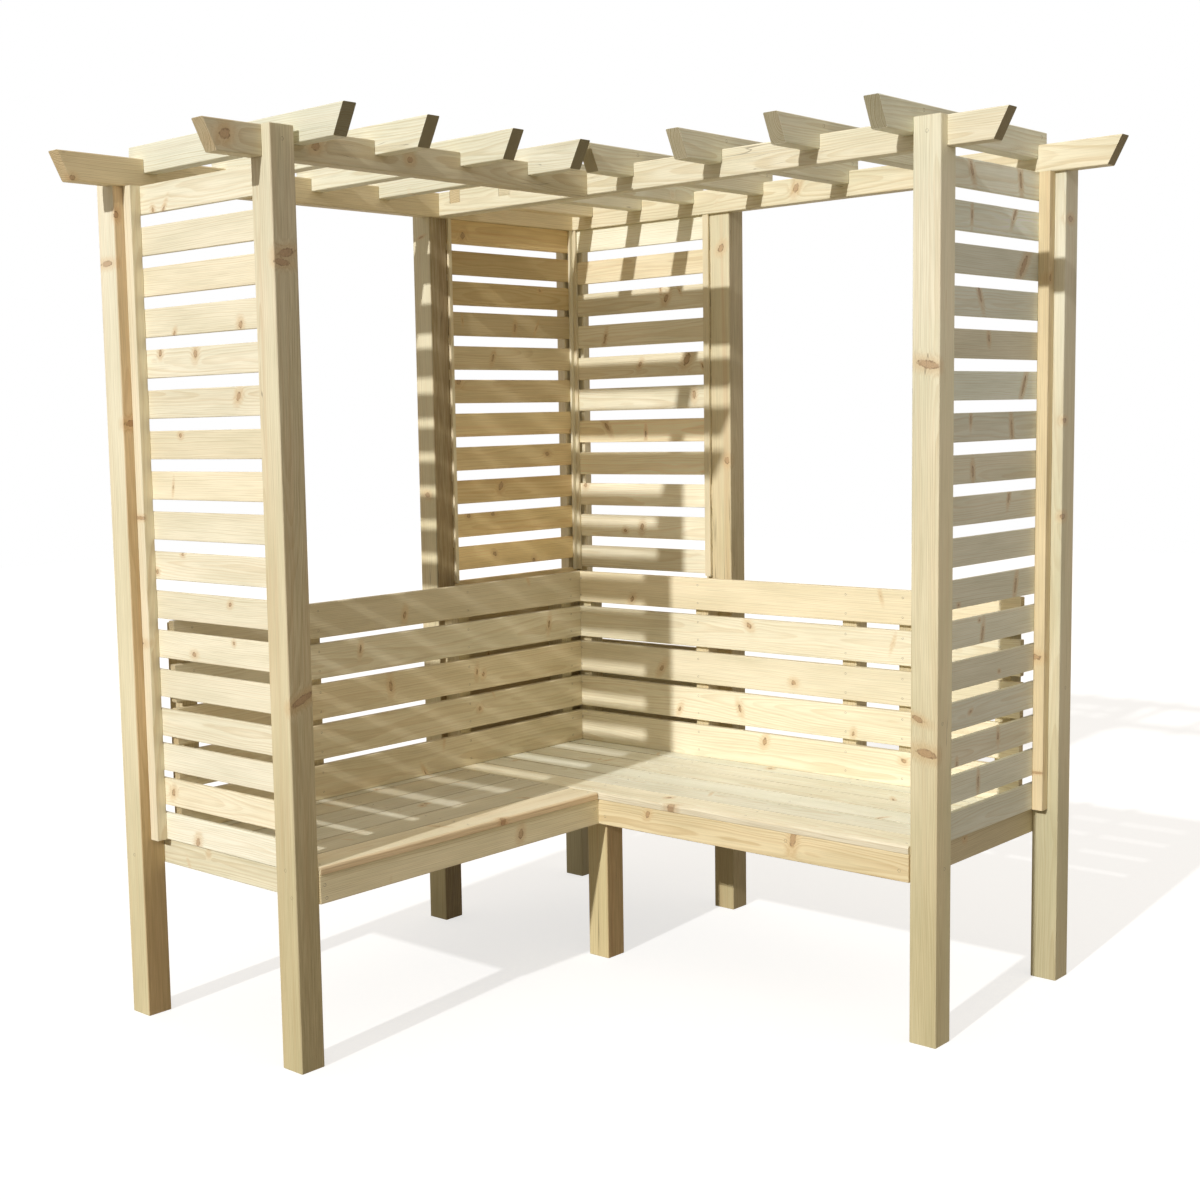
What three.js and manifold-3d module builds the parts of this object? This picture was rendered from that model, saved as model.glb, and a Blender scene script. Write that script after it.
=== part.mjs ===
import * as THREE from 'three';
import { mergeVertices } from 'three/addons/utils/BufferGeometryUtils.js';
import Module from 'manifold-3d';

// Corner arbour seat: two slatted seat wings that meet at a right angle under an open rafter roof.
// Millimetres. Z is up, X runs along the right wing and Y runs from the left end to the back.
// Lengths are first measured from the outer corner of the left end post, then centred at the end.

const wasm = await Module();
wasm.setup();

// Sections of timber
const postSize = 70;
const beamThickness = 40;
const beamDepth = 70;
const rafterThickness = 40;
const rafterDepth = 70;
const railThickness = 35;
const railDepth = 70;
const slatWidth = 70;
const slatThickness = 12;
const battenWidth = 30;
const battenDepth = 30;
const boardWidth = 96;
const boardThickness = 20;
const uprightWidth = 45;
const uprightDepth = 57;
const arrisWidth = 2;
const slatArrisWidth = 1.5;
const coverStripDepth = 8;
const leftCoverStripWidth = 13;
const rightCoverStripWidth = 20;

// Plan
const leftSeatSpan = 536;
const rightSeatSpan = 568;
const leftOpening = 1017;
const rightOpening = 959;

// Heights
const beamUnderside = 2100;
const seatHeight = 482;
const closeSlatGap = 20;
const panelDrop = 2;
const backBoardGap = 15.5;

// Roof
const leftBeamOverhang = 160;
const rightBeamOverhang = 147;
const rafterOverhang = 148;
const mitreRun = 36;
const leftRafterTail = 22;
const rightRafterTail = 10;
const rafterLap = 35;
const outerBeamProud = 12;
const rafterFit = 0.5;
const postNotchFit = 0.3;

// Seat
const railProud = 5;
const noseOverhang = 3;
const noseRadius = 7;
const noseUnderRadius = 2;
const cornerUprightSetIn = 25;
const uprightSetDown = 12;
const seatBoardGap = 3;
const boardEndGap = 2;
const panelFit = 0.5;

// Counts
const slatCount = 17;
const closeGapCount = 3;
const backBoardCount = 5;
const seatBoardCount = 6;
const arcSteps = 6;

// Places along a wing, as shares of the length that carries them
const leftRafterShares = [0.079, 0.3155, 0.5805, 0.8096];
const rightRafterShares = [0.8128, 0.6396, 0.4672, 0.3168, 0.1963, 0.0777];
const leftUprightShares = [0.3172];
const rightUprightShares = [0.3037, 0.6412, 0.7593];

// The backmost seat board of each wing is sawn narrower: its width as a share of a whole board
const leftLastBoardShare = 0.469;
const rightLastBoardShare = 0.802;

// Lines of the posts in plan, each at the low side of its posts
const xFront = postSize + leftSeatSpan;
const xEnd = xFront + postSize + rightOpening;
const yFront = postSize + leftOpening;
const yBack = yFront + postSize + rightSeatSpan;
const beamTop = beamUnderside + beamDepth;
const rafterBottom = beamTop - rafterLap;
const rafterTop = rafterBottom + rafterDepth;
const boardUnderside = seatHeight - boardThickness;
const railBottom = boardUnderside - railDepth;
const backTop = seatHeight + backBoardCount * boardWidth + (backBoardCount - 1) * backBoardGap;

// Outer beams stand a little proud of the inner faces of their posts
const outerTongue = postSize + outerBeamProud - beamThickness;
const frontTongue = postSize - beamThickness;
const beamLeftOuterX = outerTongue;
const beamLeftFrontX = xFront;
const beamRightFrontY = yFront + frontTongue;
const beamRightOuterY = yBack + postSize - outerTongue - beamThickness;

// Seat frame
const leftRailX = xFront + postSize + railProud - railThickness;
const rightRailY = yFront - railProud;
const leftNoseX = xFront + postSize + railProud + noseOverhang;
const rightNoseY = rightRailY - noseOverhang;
const leftBackFaceX = postSize + uprightDepth;
const rightBackFaceY = yBack - uprightDepth;

function timber(color, roughness) {
  return new THREE.MeshStandardMaterial({ color, roughness, metalness: 0 });
}

const postTimber = timber(0xdfd4b1, 0.8);
const roofTimber = timber(0xe7d8b5, 0.8);
const slatTimber = timber(0xece1c2, 0.78);
const railTimber = timber(0xe7d8b1, 0.8);
const boardTimber = timber(0xede3c7, 0.75);
const frameTimber = timber(0xdacba8, 0.85);

const X = new THREE.Vector3(1, 0, 0);
const Y = new THREE.Vector3(0, 1, 0);
const Z = new THREE.Vector3(0, 0, 1);

const arbour = new THREE.Group();

function addMesh(name, geometry, material) {
  const mesh = new THREE.Mesh(geometry, material);
  mesh.name = name;
  arbour.add(mesh);
  return mesh;
}

// A square-edged piece given by its two ends along each axis
function boxGeometry([x0, x1], [y0, y1], [z0, z1]) {
  const geometry = new THREE.BoxGeometry(x1 - x0, y1 - y0, z1 - z0);
  geometry.translate((x0 + x1) / 2, (y0 + y1) / 2, (z0 + z1) / 2);
  return geometry;
}

function outline(points) {
  return new THREE.Shape(points.map(([u, v]) => new THREE.Vector2(u, v)));
}

// A planed bar: its four long edges are eased by a small flat, and its ends are sawn square.
// The grain runs along the longest side.
const grainBases = [[Y, Z, X], [Z, X, Y], [X, Y, Z]];

function barGeometry(xs, ys, zs, ease = arrisWidth) {
  const ends = [xs, ys, zs];
  const lengths = ends.map(([low, high]) => high - low);
  const grain = lengths.indexOf(Math.max(...lengths));
  const [[u0, u1], [v0, v1]] = [ends[(grain + 1) % ends.length], ends[(grain + 2) % ends.length]];
  const section = outline([
    [u0 + ease, v0], [u1 - ease, v0], [u1, v0 + ease], [u1, v1 - ease],
    [u1 - ease, v1], [u0 + ease, v1], [u0, v1 - ease], [u0, v0 + ease],
  ]);
  const geometry = new THREE.ExtrudeGeometry(section, { depth: lengths[grain], bevelEnabled: false });
  const [across, up, along] = grainBases[grain];
  const start = along.clone().multiplyScalar(ends[grain][0]);
  geometry.applyMatrix4(new THREE.Matrix4().makeBasis(across, up, along).setPosition(start));
  return geometry;
}

function addBar(name, xs, ys, zs, material) {
  return addMesh(name, barGeometry(xs, ys, zs), material);
}

// A side view drawn in X and Z, sawn through the thickness of the piece along Y
function sideAlongX(shape, y0, thickness) {
  const geometry = new THREE.ExtrudeGeometry(shape, { depth: thickness, bevelEnabled: false });
  const turn = new THREE.Matrix4().makeBasis(X, Z, Y.clone().negate());
  geometry.applyMatrix4(turn.setPosition(0, y0 + thickness, 0));
  return geometry;
}

// A side view drawn in Y and Z, sawn through the thickness of the piece along X
function sideAlongY(shape, x0, thickness) {
  const geometry = new THREE.ExtrudeGeometry(shape, { depth: thickness, bevelEnabled: false });
  const turn = new THREE.Matrix4().makeBasis(Y, Z, X);
  geometry.applyMatrix4(turn.setPosition(x0, 0, 0));
  return geometry;
}

// Solid joins and cuts
function toSolid(geometry) {
  const bare = geometry.clone();
  bare.deleteAttribute('normal');
  bare.deleteAttribute('uv');
  const merged = mergeVertices(bare);
  return new wasm.Manifold(new wasm.Mesh({
    numProp: 3,
    vertProperties: new Float32Array(merged.attributes.position.array),
    triVerts: new Uint32Array(merged.index.array),
  }));
}

function toGeometry(solid) {
  const mesh = solid.getMesh();
  const geometry = new THREE.BufferGeometry();
  geometry.setAttribute('position', new THREE.BufferAttribute(new Float32Array(mesh.vertProperties), 3));
  geometry.setIndex(new THREE.BufferAttribute(new Uint32Array(mesh.triVerts), 1));
  geometry.computeVertexNormals();
  return geometry;
}

function joined(geometries) {
  const solids = geometries.map(toSolid);
  return toGeometry(solids.slice(1).reduce((whole, piece) => whole.add(piece), solids[0]));
}

// What is left of a planed bar when it is sawn to a side view
function sawn(bar, side) {
  return toGeometry(toSolid(bar).intersect(toSolid(side)));
}

// Posts. The top of each is rebated for a beam, and a tongue stands up beside the beam.
function postSide(u0, tongueStart, tongueEnd) {
  const u1 = u0 + postSize;
  const points = [[u0, 0], [u1, 0]];
  if (tongueEnd < u1) points.push([u1, beamUnderside], [tongueEnd, beamUnderside]);
  points.push([tongueEnd, beamTop], [tongueStart, beamTop]);
  if (tongueStart > u0) points.push([tongueStart, beamUnderside], [u0, beamUnderside]);
  return outline(points);
}

function postBar(x0, y0) {
  return barGeometry([x0, x0 + postSize], [y0, y0 + postSize], [0, beamTop]);
}

function addPostAlongX(name, x0, y0, tongueStart, tongueEnd) {
  const side = sideAlongX(postSide(x0, tongueStart, tongueEnd), y0, postSize);
  addMesh(name, sawn(postBar(x0, y0), side), postTimber);
}

function addPostAlongY(name, x0, y0, tongueStart, tongueEnd) {
  const side = sideAlongY(postSide(y0, tongueStart, tongueEnd), x0, postSize);
  addMesh(name, sawn(postBar(x0, y0), side), postTimber);
}

function addPosts() {
  const leftTongueEnd = outerTongue - postNotchFit;
  addPostAlongX('post_left_outer', 0, 0, 0, leftTongueEnd);
  addPostAlongX('post_left_back', 0, yFront, 0, leftTongueEnd);
  const yFar = yBack + postSize;
  const rightTongueStart = yFar - outerTongue + postNotchFit;
  addPostAlongY('post_right_back', xFront, yBack, rightTongueStart, yFar);
  addPostAlongY('post_right_outer', xEnd, yBack, rightTongueStart, yFar);
  const xFar = xFront + postSize;
  addPostAlongX('post_left_front', xFront, 0, xFar - frontTongue + postNotchFit, xFar);
  addPostAlongY('post_right_front', xEnd, yFront, yFront, yFront + frontTongue - postNotchFit);
  addCornerPost(leftTongueEnd, rightTongueStart, yFar);
  const legFace = leftRailX + railThickness;
  const legX = [legFace - postSize, legFace];
  const legY = [rightRailY + railThickness, rightRailY + railThickness + postSize];
  addBar('leg_inner_corner', legX, legY, [0, boardUnderside], postTimber);
}

// The corner post keeps a tongue on both of its outer sides
function addCornerPost(tongueX, tongueY, far) {
  const shaft = boxGeometry([0, postSize], [yBack, far], [0, beamUnderside]);
  const corner = outline([[0, yBack], [tongueX, yBack], [tongueX, tongueY], [postSize, tongueY],
    [postSize, far], [0, far]]);
  const tongue = new THREE.ExtrudeGeometry(corner, { depth: beamDepth, bevelEnabled: false });
  tongue.translate(0, 0, beamUnderside);
  addMesh('post_corner', sawn(postBar(0, yBack), joined([shaft, tongue])), postTimber);
}

// Beams, with a square housing in the top for each rafter
function beamSide(u0, u1, mitredLow, mitredHigh, rafters) {
  const points = [[u0 + (mitredLow ? mitreRun : 0), beamUnderside]];
  points.push([u1 - (mitredHigh ? mitreRun : 0), beamUnderside], [u1, beamTop]);
  const fromHigh = [...rafters].sort((a, b) => b - a);
  for (const place of fromHigh) {
    const high = place + rafterThickness + rafterFit;
    const low = place - rafterFit;
    points.push([high, beamTop], [high, rafterBottom], [low, rafterBottom], [low, beamTop]);
  }
  points.push([u0, beamTop]);
  return outline(points);
}

const leftRafters = leftRafterShares.map((share) => share * yFront);
const outermostRafter = xEnd - rafterThickness - rafterFit;
const rightRafters = [outermostRafter, ...rightRafterShares.map((share) => share * xEnd)];
const roofEndX = xEnd + postSize + rightBeamOverhang;

const beamHeights = [beamUnderside, beamTop];

function addLeftBeam(name, x0, back) {
  const side = beamSide(-leftBeamOverhang, back, true, false, leftRafters);
  const bar = barGeometry([x0, x0 + beamThickness], [-leftBeamOverhang, back], beamHeights);
  addMesh(name, sawn(bar, sideAlongY(side, x0, beamThickness)), roofTimber);
}

function addRightBeam(name, y0) {
  const start = beamLeftOuterX + beamThickness;
  const side = beamSide(start, roofEndX, false, true, rightRafters);
  const bar = barGeometry([start, roofEndX], [y0, y0 + beamThickness], beamHeights);
  addMesh(name, sawn(bar, sideAlongX(side, y0, beamThickness)), roofTimber);
}

function addBeams() {
  addLeftBeam('beam_left_outer', beamLeftOuterX, beamRightOuterY + beamThickness);
  addLeftBeam('beam_left_front', beamLeftFrontX, beamRightFrontY);
  addRightBeam('beam_right_front', beamRightFrontY);
  addRightBeam('beam_right_outer', beamRightOuterY);
}

// Rafters. One end is mitred where it hangs over the front, and the tail is square.
const rafterHeights = [rafterBottom, rafterTop];

function rafterSide(tail, tip, tipMitre) {
  return outline([[tail, rafterBottom], [tip - tipMitre, rafterBottom], [tip, rafterTop], [tail, rafterTop]]);
}

function addRafters() {
  const leftTail = beamLeftOuterX - leftRafterTail;
  const leftTip = xFront + postSize + rafterOverhang;
  const leftSide = rafterSide(leftTail, leftTip, mitreRun);
  leftRafters.forEach((place, i) => {
    const bar = barGeometry([leftTail, leftTip], [place, place + rafterThickness], rafterHeights);
    const side = sideAlongX(leftSide, place, rafterThickness);
    addMesh(`rafter_left_${i + 1}`, sawn(bar, side), roofTimber);
  });
  const rightTail = beamRightOuterY + beamThickness + rightRafterTail;
  rightRafters.forEach((place, i) => {
    const overSeatFront = place > xFront;
    const tip = overSeatFront ? yFront - rafterOverhang : beamRightFrontY - rightRafterTail;
    const side = rafterSide(rightTail, tip, overSeatFront ? -mitreRun : 0);
    const bar = barGeometry([place, place + rafterThickness], [tip, rightTail], rafterHeights);
    const sideCut = sideAlongY(side, place, rafterThickness);
    addMesh(`rafter_right_${i + 1}`, sawn(bar, sideCut), roofTimber);
  });
}

// Slatted panels: slats nailed across two battens, from just below the seat boards to the beams.
// The last gaps at one end are closer, and the others share out the rest of the height.
const panelBottom = boardUnderside - panelDrop;

function slatBottoms(closeGapsAtTop) {
  const height = beamUnderside - panelBottom;
  const closePitch = slatWidth + closeSlatGap;
  const restOfHeight = height - slatWidth - closeGapCount * closePitch;
  const widePitch = restOfHeight / (slatCount - 1 - closeGapCount);
  const places = [0];
  while (places.length < slatCount) {
    const pitch = places.length > closeGapCount ? widePitch : closePitch;
    places.push(places[places.length - 1] + pitch);
  }
  return closeGapsAtTop ? places.map((z) => height - slatWidth - z) : places;
}

function panelGeometry(span, { closeGapsAtTop = false, coverStripWidth = 0, stripSetIn = 0 } = {}) {
  const low = panelFit;
  const high = span - panelFit;
  const battenY = [slatThickness, slatThickness + battenDepth];
  const pieces = [
    boxGeometry([low, low + battenWidth], battenY, [panelBottom, beamUnderside]),
    boxGeometry([high - battenWidth, high], battenY, [panelBottom, beamUnderside]),
  ];
  for (const place of slatBottoms(closeGapsAtTop)) {
    const z = panelBottom + place;
    pieces.push(barGeometry([low, high], [0, slatThickness], [z, z + slatWidth], slatArrisWidth));
  }
  if (coverStripWidth > 0) {
    const stripY = [-coverStripDepth, 0];
    const stripZ = [backTop, beamUnderside];
    pieces.push(boxGeometry([low, low + coverStripWidth], stripY, stripZ));
    const stripEnd = high - stripSetIn;
    pieces.push(boxGeometry([stripEnd - coverStripWidth, stripEnd], stripY, stripZ));
  }
  return joined(pieces);
}

// A panel is drawn with its slats facing -Y, then turned so that they face the seat
function addPanel(name, geometry, along, away, [x, y]) {
  const turn = new THREE.Matrix4().makeBasis(along, away, Z);
  geometry.applyMatrix4(turn.setPosition(x, y, 0));
  addMesh(name, geometry, slatTimber);
}

function addPanels() {
  const minusX = X.clone().negate();
  const minusY = Y.clone().negate();
  addPanel('panel_left_end', panelGeometry(leftSeatSpan), minusX, minusY, [xFront, postSize]);
  addPanel('panel_right_end', panelGeometry(rightSeatSpan), minusY, X, [xEnd, yBack]);
  const leftCorner = panelGeometry(rightSeatSpan, {
    closeGapsAtTop: true, coverStripWidth: leftCoverStripWidth, stripSetIn: coverStripDepth,
  });
  addPanel('panel_left_corner', leftCorner, Y, minusX, [postSize, yFront + postSize]);
  const rightCorner = panelGeometry(leftSeatSpan, { coverStripWidth: rightCoverStripWidth });
  addPanel('panel_right_corner', rightCorner, X, Y, [postSize, yBack]);
}

// Rails round the seat, and joists under its boards
const railHeights = [railBottom, boardUnderside];
const endRailY = [postSize, postSize + railThickness];
const endRailX = [xEnd - railThickness, xEnd];
const backRailX = [postSize, postSize + railThickness];
const backRailY = [yBack - railThickness, yBack];
const leftBackLength = yBack - postSize;
const rightBackLength = xEnd - leftBackFaceX;
const leftMiddleUprights = leftUprightShares.map((share) => share * leftBackLength);
const rightMiddleUprights = rightUprightShares.map((share) => leftBackFaceX + share * rightBackLength);
const leftBehindBeam = yFront + uprightWidth / 2;

function addRails() {
  const leftY = [postSize, rightRailY];
  addBar('rail_left_front', [leftRailX, leftRailX + railThickness], leftY, railHeights, railTimber);
  const rightX = [leftBackFaceX, xEnd];
  const rightY = [rightRailY, rightRailY + railThickness];
  addBar('rail_right_front', rightX, rightY, railHeights, railTimber);
  addBar('rail_left_end', [0, leftRailX], endRailY, railHeights, railTimber);
  const endY = [rightRailY + railThickness, yBack + postSize];
  addBar('rail_right_end', endRailX, endY, railHeights, railTimber);
}

function addJoists() {
  const leftX = [backRailX[1], leftRailX];
  const beside = leftMiddleUprights[0] + uprightWidth;
  addBar('joist_left_1', leftX, [beside, beside + railThickness], railHeights, frameTimber);
  addBar('joist_left_2', leftX, [rightRailY - railThickness, rightRailY], railHeights, frameTimber);
  const front = rightRailY + railThickness;
  const cornerX = [leftBackFaceX, leftBackFaceX + railThickness];
  addBar('joist_right_1', cornerX, [front, rightBackFaceY], railHeights, frameTimber);
  const behindLeg = rightMiddleUprights[0] + uprightWidth;
  const legX = [behindLeg, behindLeg + railThickness];
  addBar('joist_right_2', legX, [front + postSize, backRailY[0]], railHeights, frameTimber);
  const middle = rightMiddleUprights[1] + uprightWidth;
  addBar('joist_right_3', [middle, middle + railThickness], [front, backRailY[0]], railHeights, frameTimber);
}

// Back frames: a back rail with uprights halved into it, which carry the back boards
function addBackFrames() {
  const uprightHeights = [railBottom, backTop - uprightSetDown];
  const leftX = [postSize, leftBackFaceX];
  const cornerPlace = rightBackFaceY - boardThickness - cornerUprightSetIn - uprightWidth;
  const leftPlaces = [endRailY[1], ...leftMiddleUprights, leftBehindBeam, cornerPlace];
  const left = [boxGeometry(backRailX, [endRailY[1], yBack], railHeights)];
  for (const y of leftPlaces) left.push(barGeometry(leftX, [y, y + uprightWidth], uprightHeights));
  addMesh('back_frame_left', joined(left), frameTimber);
  const rightY = [rightBackFaceY, yBack];
  const rightPlaces = [leftBackFaceX, ...rightMiddleUprights, endRailX[0] - uprightWidth];
  const right = [boxGeometry([backRailX[1], endRailX[0]], backRailY, railHeights)];
  for (const x of rightPlaces) right.push(barGeometry([x, x + uprightWidth], rightY, uprightHeights));
  addMesh('back_frame_right', joined(right), frameTimber);
}

// A front seat board, seen from its end, with its nose to the left
function nosedBoard(width) {
  const shape = new THREE.Shape();
  const top = seatHeight;
  shape.moveTo(width, boardUnderside);
  shape.lineTo(width, top);
  shape.lineTo(noseRadius, top);
  shape.absarc(noseRadius, top - noseRadius, noseRadius, Math.PI / 2, Math.PI, false);
  shape.lineTo(0, boardUnderside + noseUnderRadius);
  shape.absarc(noseUnderRadius, boardUnderside + noseUnderRadius, noseUnderRadius, Math.PI, Math.PI * 1.5,
    false);
  return shape;
}

function nosedGeometry(width, length, along, towardsBack, [x, y]) {
  const settings = { depth: length, bevelEnabled: false, curveSegments: arcSteps };
  const geometry = new THREE.ExtrudeGeometry(nosedBoard(width), settings);
  const turn = new THREE.Matrix4().makeBasis(towardsBack, Z, along);
  geometry.applyMatrix4(turn.setPosition(x, y, 0));
  return geometry;
}

// Boards share the depth from the front edge back to the uprights, less their gaps
function boardsAcross(depth, lastBoardShare) {
  const gaps = (seatBoardCount - 1) * seatBoardGap;
  const width = (depth - gaps) / (seatBoardCount - 1 + lastBoardShare);
  const boards = [];
  for (let i = 0; i < seatBoardCount; i += 1) {
    const start = i * (width + seatBoardGap);
    boards.push([start, Math.min(start + width, depth)]);
  }
  return boards;
}

function addSeatBoards() {
  const heights = [boardUnderside, seatHeight];
  const leftEnd = rightNoseY - boardEndGap;
  const rightStart = leftBackFaceX + boardEndGap;
  const minusX = X.clone().negate();
  const leftBoards = boardsAcross(leftNoseX - rightStart, leftLastBoardShare);
  const rightDepth = rightBackFaceY - boardEndGap - rightNoseY;
  const rightBoards = boardsAcross(rightDepth, rightLastBoardShare);
  const leftWidth = leftBoards[0][1];
  const leftNose = nosedGeometry(leftWidth, leftEnd - postSize, Y, minusX, [leftNoseX, postSize]);
  addMesh('seat_board_left_1', leftNose, boardTimber);
  const rightWidth = rightBoards[0][1];
  const rightNose = nosedGeometry(rightWidth, xEnd - rightStart, X, Y, [rightStart, rightNoseY]);
  addMesh('seat_board_right_1', rightNose, boardTimber);
  leftBoards.slice(1).forEach(([near, far], i) => {
    const xs = [leftNoseX - far, leftNoseX - near];
    addBar(`seat_board_left_${i + 2}`, xs, [postSize, leftEnd], heights, boardTimber);
  });
  rightBoards.slice(1).forEach(([near, far], i) => {
    const ys = [rightNoseY + near, rightNoseY + far];
    addBar(`seat_board_right_${i + 2}`, [rightStart, xEnd], ys, heights, boardTimber);
  });
}

function addBackBoards() {
  for (let i = 0; i < backBoardCount; i += 1) {
    const low = seatHeight + i * (boardWidth + backBoardGap);
    const heights = [low, low + boardWidth];
    const leftX = [leftBackFaceX, leftBackFaceX + boardThickness];
    const rightY = [rightBackFaceY - boardThickness, rightBackFaceY];
    addBar(`back_board_left_${i + 1}`, leftX, [postSize, rightY[0]], heights, boardTimber);
    addBar(`back_board_right_${i + 1}`, [leftBackFaceX, xEnd], rightY, heights, boardTimber);
  }
}

addPosts();
addBeams();
addRafters();
addPanels();
addRails();
addJoists();
addBackFrames();
addSeatBoards();
addBackBoards();

// The origin is on the ground under the middle of the whole arbour
const middleX = roofEndX / 2;
const middleY = (yBack + postSize - leftBeamOverhang) / 2;
arbour.position.set(-middleX, -middleY, 0);

export default arbour;
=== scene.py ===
# %% [markdown]
# # A corner arbour seat in planed pine
# Two slatted seat wings meet at a right angle under an open roof of rafters. The solids of
# every timber are already made, and they are loaded here as a fixed frame. Blender's work
# is the wood itself: soft edges, growth rings, knots, end grain, nails and screws.

# %% Load the frame
import math
import random

import bmesh
import bpy
from mathutils import Matrix, Vector


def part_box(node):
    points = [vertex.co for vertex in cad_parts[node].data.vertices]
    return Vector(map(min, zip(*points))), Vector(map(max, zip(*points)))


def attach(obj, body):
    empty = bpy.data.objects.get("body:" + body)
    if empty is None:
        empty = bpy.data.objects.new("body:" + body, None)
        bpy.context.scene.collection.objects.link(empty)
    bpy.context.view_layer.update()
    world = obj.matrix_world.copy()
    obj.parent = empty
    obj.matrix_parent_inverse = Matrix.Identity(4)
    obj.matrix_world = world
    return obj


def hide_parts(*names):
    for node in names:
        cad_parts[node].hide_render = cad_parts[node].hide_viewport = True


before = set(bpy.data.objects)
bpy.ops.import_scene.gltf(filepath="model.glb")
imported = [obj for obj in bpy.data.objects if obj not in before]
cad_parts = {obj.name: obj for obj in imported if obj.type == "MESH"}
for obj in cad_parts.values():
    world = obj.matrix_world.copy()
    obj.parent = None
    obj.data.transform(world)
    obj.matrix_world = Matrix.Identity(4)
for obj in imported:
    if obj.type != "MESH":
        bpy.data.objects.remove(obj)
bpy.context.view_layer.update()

# %% [markdown]
# ## Camera
# The camera stands in front of the open corner, about as high as the eyes of a person who
# stands, and looks down very slightly. A lens is a focal length over a sensor width, so
# the focal length that was measured in pixels is turned into millimetres on a 36 mm
# sensor. The middle of the lens isn't the middle of the picture, as when a picture is
# trimmed on one side. A small sideways shift of the lens gives the same.

# %% Camera
EYE = Vector((2.6924, -3.2498, 1.5066))
HEADING, DIP, LEAN = 2.33563, -0.105719, -0.022603
FOCAL_PIXELS, PICTURE_PIXELS, SENSOR_WIDTH = 1686.05, 1200, 36.0
SIDE_SHIFT = 0.1

ahead = Vector((math.cos(DIP) * math.cos(HEADING), math.cos(DIP) * math.sin(HEADING), math.sin(DIP)))
level = Vector((math.sin(HEADING), -math.cos(HEADING), 0))
upward = level.cross(ahead)
right = level * math.cos(LEAN) + upward * math.sin(LEAN)
top = upward * math.cos(LEAN) - level * math.sin(LEAN)

camera_data = bpy.data.cameras.new("camera")
camera_data.sensor_width = SENSOR_WIDTH
camera_data.lens = FOCAL_PIXELS / PICTURE_PIXELS * SENSOR_WIDTH
camera_data.shift_x = SIDE_SHIFT
camera = bpy.data.objects.new("camera", camera_data)
camera.matrix_world = Matrix.Translation(EYE) @ Matrix((right, top, -ahead)).transposed().to_4x4()
bpy.context.scene.collection.objects.link(camera)
bpy.context.scene.camera = camera
print("lens", round(camera_data.lens, 2), "mm")

# %% [markdown]
# ## A bench of small tools for nodes
# A material is a graph of nodes, and so is the light of the world. Writing each node in
# full makes long code, so this small helper adds a node, joins its inputs and hands back
# its output, one line for each step.

# %% Node helper
WHITE = (1.0, 1.0, 1.0)
BUMP_STRENGTH = 0.5


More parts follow.
